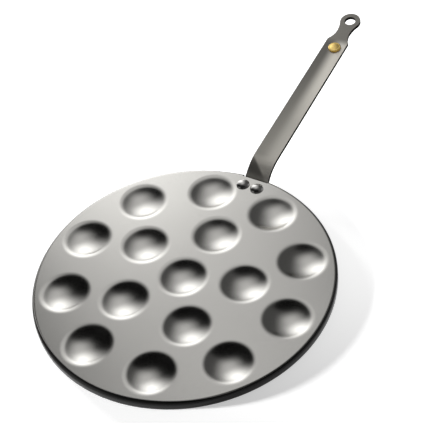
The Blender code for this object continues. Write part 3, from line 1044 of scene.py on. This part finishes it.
def close_room(studio):
    """A dim round room that the metal mirrors where no card shows."""
    deselect_everything()
    bpy.ops.mesh.primitive_uv_sphere_add(segments=48, ring_count=24, radius=4)
    room = named("dim_room")
    made, tree, output = start_stage_material("dim_room")
    light = add(tree, "ShaderNodeEmission")
    light.inputs["Strength"].default_value = studio.room_glow
    tree.links.new(light.outputs["Emission"], output.inputs["Surface"])
    made.cycles.emission_sampling = "NONE"
    room.data.materials.append(made)
    only_in_reflections(room)


def low_sun(name, azimuth, elevation, width, share):
    """A soft low sun; its share is what it adds to the paper's brightness."""
    towards = Vector((math.cos(elevation) * math.cos(azimuth),
                      math.cos(elevation) * math.sin(azimuth), math.sin(elevation)))
    deselect_everything()
    bpy.ops.object.light_add(type="SUN", location=towards * 2)
    sun = bpy.context.view_layer.objects.active
    sun.name = name
    sun.rotation_euler = towards.to_track_quat("Z", "Y").to_euler()
    sun.data.angle = width
    sun.data.energy = share * math.pi / (PAPER_SHADE * math.sin(elevation))
    sun.visible_glossy = False


def set_world():
    world = bpy.data.worlds.new("white_surround")
    bpy.context.scene.world = world
    world.use_nodes = True
    tree = world.node_tree
    back = tree.nodes["Background"]
    back.inputs["Color"].default_value = (1, 1, 1, 1)
    level = spread(tree, seen_or_mirrored(tree), 0.12, 1.0, 0.0, 1.0)
    tree.links.new(level, back.inputs["Strength"])


def set_camera(studio):
    deselect_everything()
    bpy.ops.object.camera_add(location=studio.camera_place)
    camera = bpy.context.view_layer.objects.active
    camera.name = "photo_camera"
    camera.data.sensor_width = 36
    camera.data.lens = studio.camera_lens
    view = Vector(studio.camera_aim) - Vector(studio.camera_place)
    turn = view.to_track_quat("-Z", "Y").to_matrix()
    camera.rotation_euler = (turn @ Matrix.Rotation(-studio.camera_roll, 3, "Z")).to_euler()
    bpy.context.scene.camera = camera


# Operators

class PAN_OT_press_plate(bpy.types.Operator):
    """Press the plate with its cups and turn its edge down"""

    bl_idname = "pan.press_plate"
    bl_label = "Press Plate"

    def execute(self, context):
        scene = context.scene
        sizes, finishes = scene.pan_plate, scene.pan_finishes
        plate = press_plate(sizes, scene.pan_fixings)
        # the skirt's near-black colour is partly its finish and partly painted dark reflection
        mask = skirt_finish_and_shade_mask(sizes.radius, sizes.top, sizes.edge_bend)
        steel = brushed_steel("plate_steel", finishes.plate_colour, finishes.skirt_finish_and_shade_colour,
                              finishes.plate_roughness, mask, (1, 1, 1), 0.2)
        dress(plate, steel, "plate_steel", "pan_body")
        return {"FINISHED"}


class PAN_OT_bend_handle(bpy.types.Operator):
    """Cut the strip handle, punch it, round its edges and bend it"""

    bl_idname = "pan.bend_handle"
    bl_label = "Bend Handle"

    def execute(self, context):
        scene = context.scene
        finishes = scene.pan_finishes
        strip = make_strip_handle(scene.pan_handle, scene.pan_fixings)
        # the strip's tone carries painted reflection and shade; its near-black cut edges are
        # partly raw finish, partly painted dark reflection
        steel = brushed_steel("handle_steel", finishes.handle_colour, finishes.cut_edge_finish_and_shade_colour,
                              finishes.handle_roughness, side_mask, (0.08, 1, 1), 0.0,
                              strip_painted_light)
        dress(strip, steel, "handle_steel", "handle")
        return {"FINISHED"}


class PAN_OT_set_rivets(bpy.types.Operator):
    """Set the two domed rivets through plate and handle"""

    bl_idname = "pan.set_rivets"
    bl_label = "Set Rivets"

    def execute(self, context):
        scene = context.scene
        fixings, finishes = scene.pan_fixings, scene.pan_finishes
        steel = polished_metal("rivet_steel", finishes.rivet_colour, 0.22, 160)
        profile = rivet_profile(fixings, scene.pan_plate, scene.pan_handle)
        for side, node in ((1, "rivet_left"), (-1, "rivet_right")):
            rivet = turn_piece("domed_" + node, profile, 72)
            take(rivet)
            bpy.ops.transform.translate(value=(fixings.rivet_x, rivet_side(fixings, side),
                                               scene.pan_plate.top))
            keep_place_in_mesh(rivet)
            bpy.ops.object.shade_smooth_by_angle(angle=TURNED_SMOOTHING)
            dress(rivet, steel, "rivet_steel", node)
        return {"FINISHED"}


class PAN_OT_set_stud(bpy.types.Operator):
    """Set the brass stud near the handle's end"""

    bl_idname = "pan.set_stud"
    bl_label = "Set Stud"

    def execute(self, context):
        scene = context.scene
        fixings, handle, finishes = scene.pan_fixings, scene.pan_handle, scene.pan_finishes
        # the stud's wall colour is painted shade
        brass = polished_metal("stud_brass", finishes.brass_colour, 0.20, 220,
                               finishes.brass_wall_shade_colour)
        stud = turn_piece("domed_brass_stud", stud_profile(fixings, handle), 72)
        x, z = point_on_strip(handle, strip_length_to_eye(handle) - fixings.stud_to_eye)
        stud.location = (x, fixings.stud_offset, z)
        stud.rotation_euler = (0, -handle.slope, 0)
        keep_place_in_mesh(stud)
        bpy.ops.object.shade_smooth_by_angle(angle=TURNED_SMOOTHING)
        dress(stud, brass, "stud_brass", "brass_stud")
        return {"FINISHED"}


class PAN_OT_set_studio(bpy.types.Operator):
    """Lay the paper, hang the cards, light the key and place the camera"""

    bl_idname = "pan.set_studio"
    bl_label = "Set Studio"

    def execute(self, context):
        studio = context.scene.pan_studio
        lay_paper(studio)
        close_room(studio)
        degrees = math.radians
        hang_card("low_card", 0.829, degrees(47.0), degrees(7.4), degrees(75.2),
                  degrees(21.7), 0.200, 0.424, 0.085, studio.low_glow)
        hang_card("roof_card", 1.020, degrees(35.7), degrees(1.7), degrees(37.2),
                  degrees(46.3), 0.218, 1.093, 0.064, studio.roof_glow)
        hang_card("wide_card", 2.700, degrees(5.2), degrees(10.8), degrees(93.1),
                  degrees(113.0), 2.563, 0.553, 0.012, studio.wide_glow)
        hang_card("side_card", 1.2, degrees(142), degrees(28), degrees(142),
                  degrees(28), 0.25, 0.30, 0.06, studio.side_glow)
        for name, turn, rise, distance, height in (("back_card_left", 150, 16.9, 2.61, 0.68),
                                                   ("back_card_middle", 222, 25.1, 2.76, 1.08),
                                                   ("back_card_right", 296, 16.9, 2.61, 0.68)):
            hang_card(name, distance, degrees(turn), degrees(rise), degrees(turn), 0, 1.9,
                      height, 0.12, studio.back_glow)
        low_sun("key_light", degrees(118.1), degrees(11.2), degrees(5), studio.key_share)
        low_sun("fill_light", degrees(69.0), degrees(7.8), degrees(6), studio.fill_share)
        set_world()
        set_camera(studio)
        context.scene.view_settings.view_transform = "Standard"
        return {"FINISHED"}


class PAN_PT_builder(bpy.types.Panel):
    """Sidebar panel with the pan's steps and settings"""

    bl_label = "Pancake Pan"
    bl_idname = "PAN_PT_builder"
    bl_space_type = "VIEW_3D"
    bl_region_type = "UI"
    bl_category = "Pancake Pan"

    def draw(self, context):
        column = self.layout.column()
        for step in STEPS:
            column.operator(step.bl_idname)
        for name, group in SETTING_GROUPS:
            box = self.layout.box()
            box.label(text=group.__doc__)
            settings = getattr(context.scene, name)
            for setting in group.__annotations__:
                box.prop(settings, setting)


STEPS = (PAN_OT_press_plate, PAN_OT_bend_handle, PAN_OT_set_rivets, PAN_OT_set_stud,
         PAN_OT_set_studio)
CLASSES = tuple(group for _, group in SETTING_GROUPS) + STEPS + (PAN_PT_builder,)


def register():
    for item in CLASSES:
        bpy.utils.register_class(item)
    for name, group in SETTING_GROUPS:
        setattr(bpy.types.Scene, name, bpy.props.PointerProperty(type=group))


def unregister():
    for name, _ in SETTING_GROUPS:
        delattr(bpy.types.Scene, name)
    for item in reversed(CLASSES):
        bpy.utils.unregister_class(item)


def main():
    register()
    bpy.ops.pan.press_plate()
    bpy.ops.pan.bend_handle()
    bpy.ops.pan.set_rivets()
    bpy.ops.pan.set_stud()
    bpy.ops.pan.set_studio()


if __name__ == "__main__":
    main()
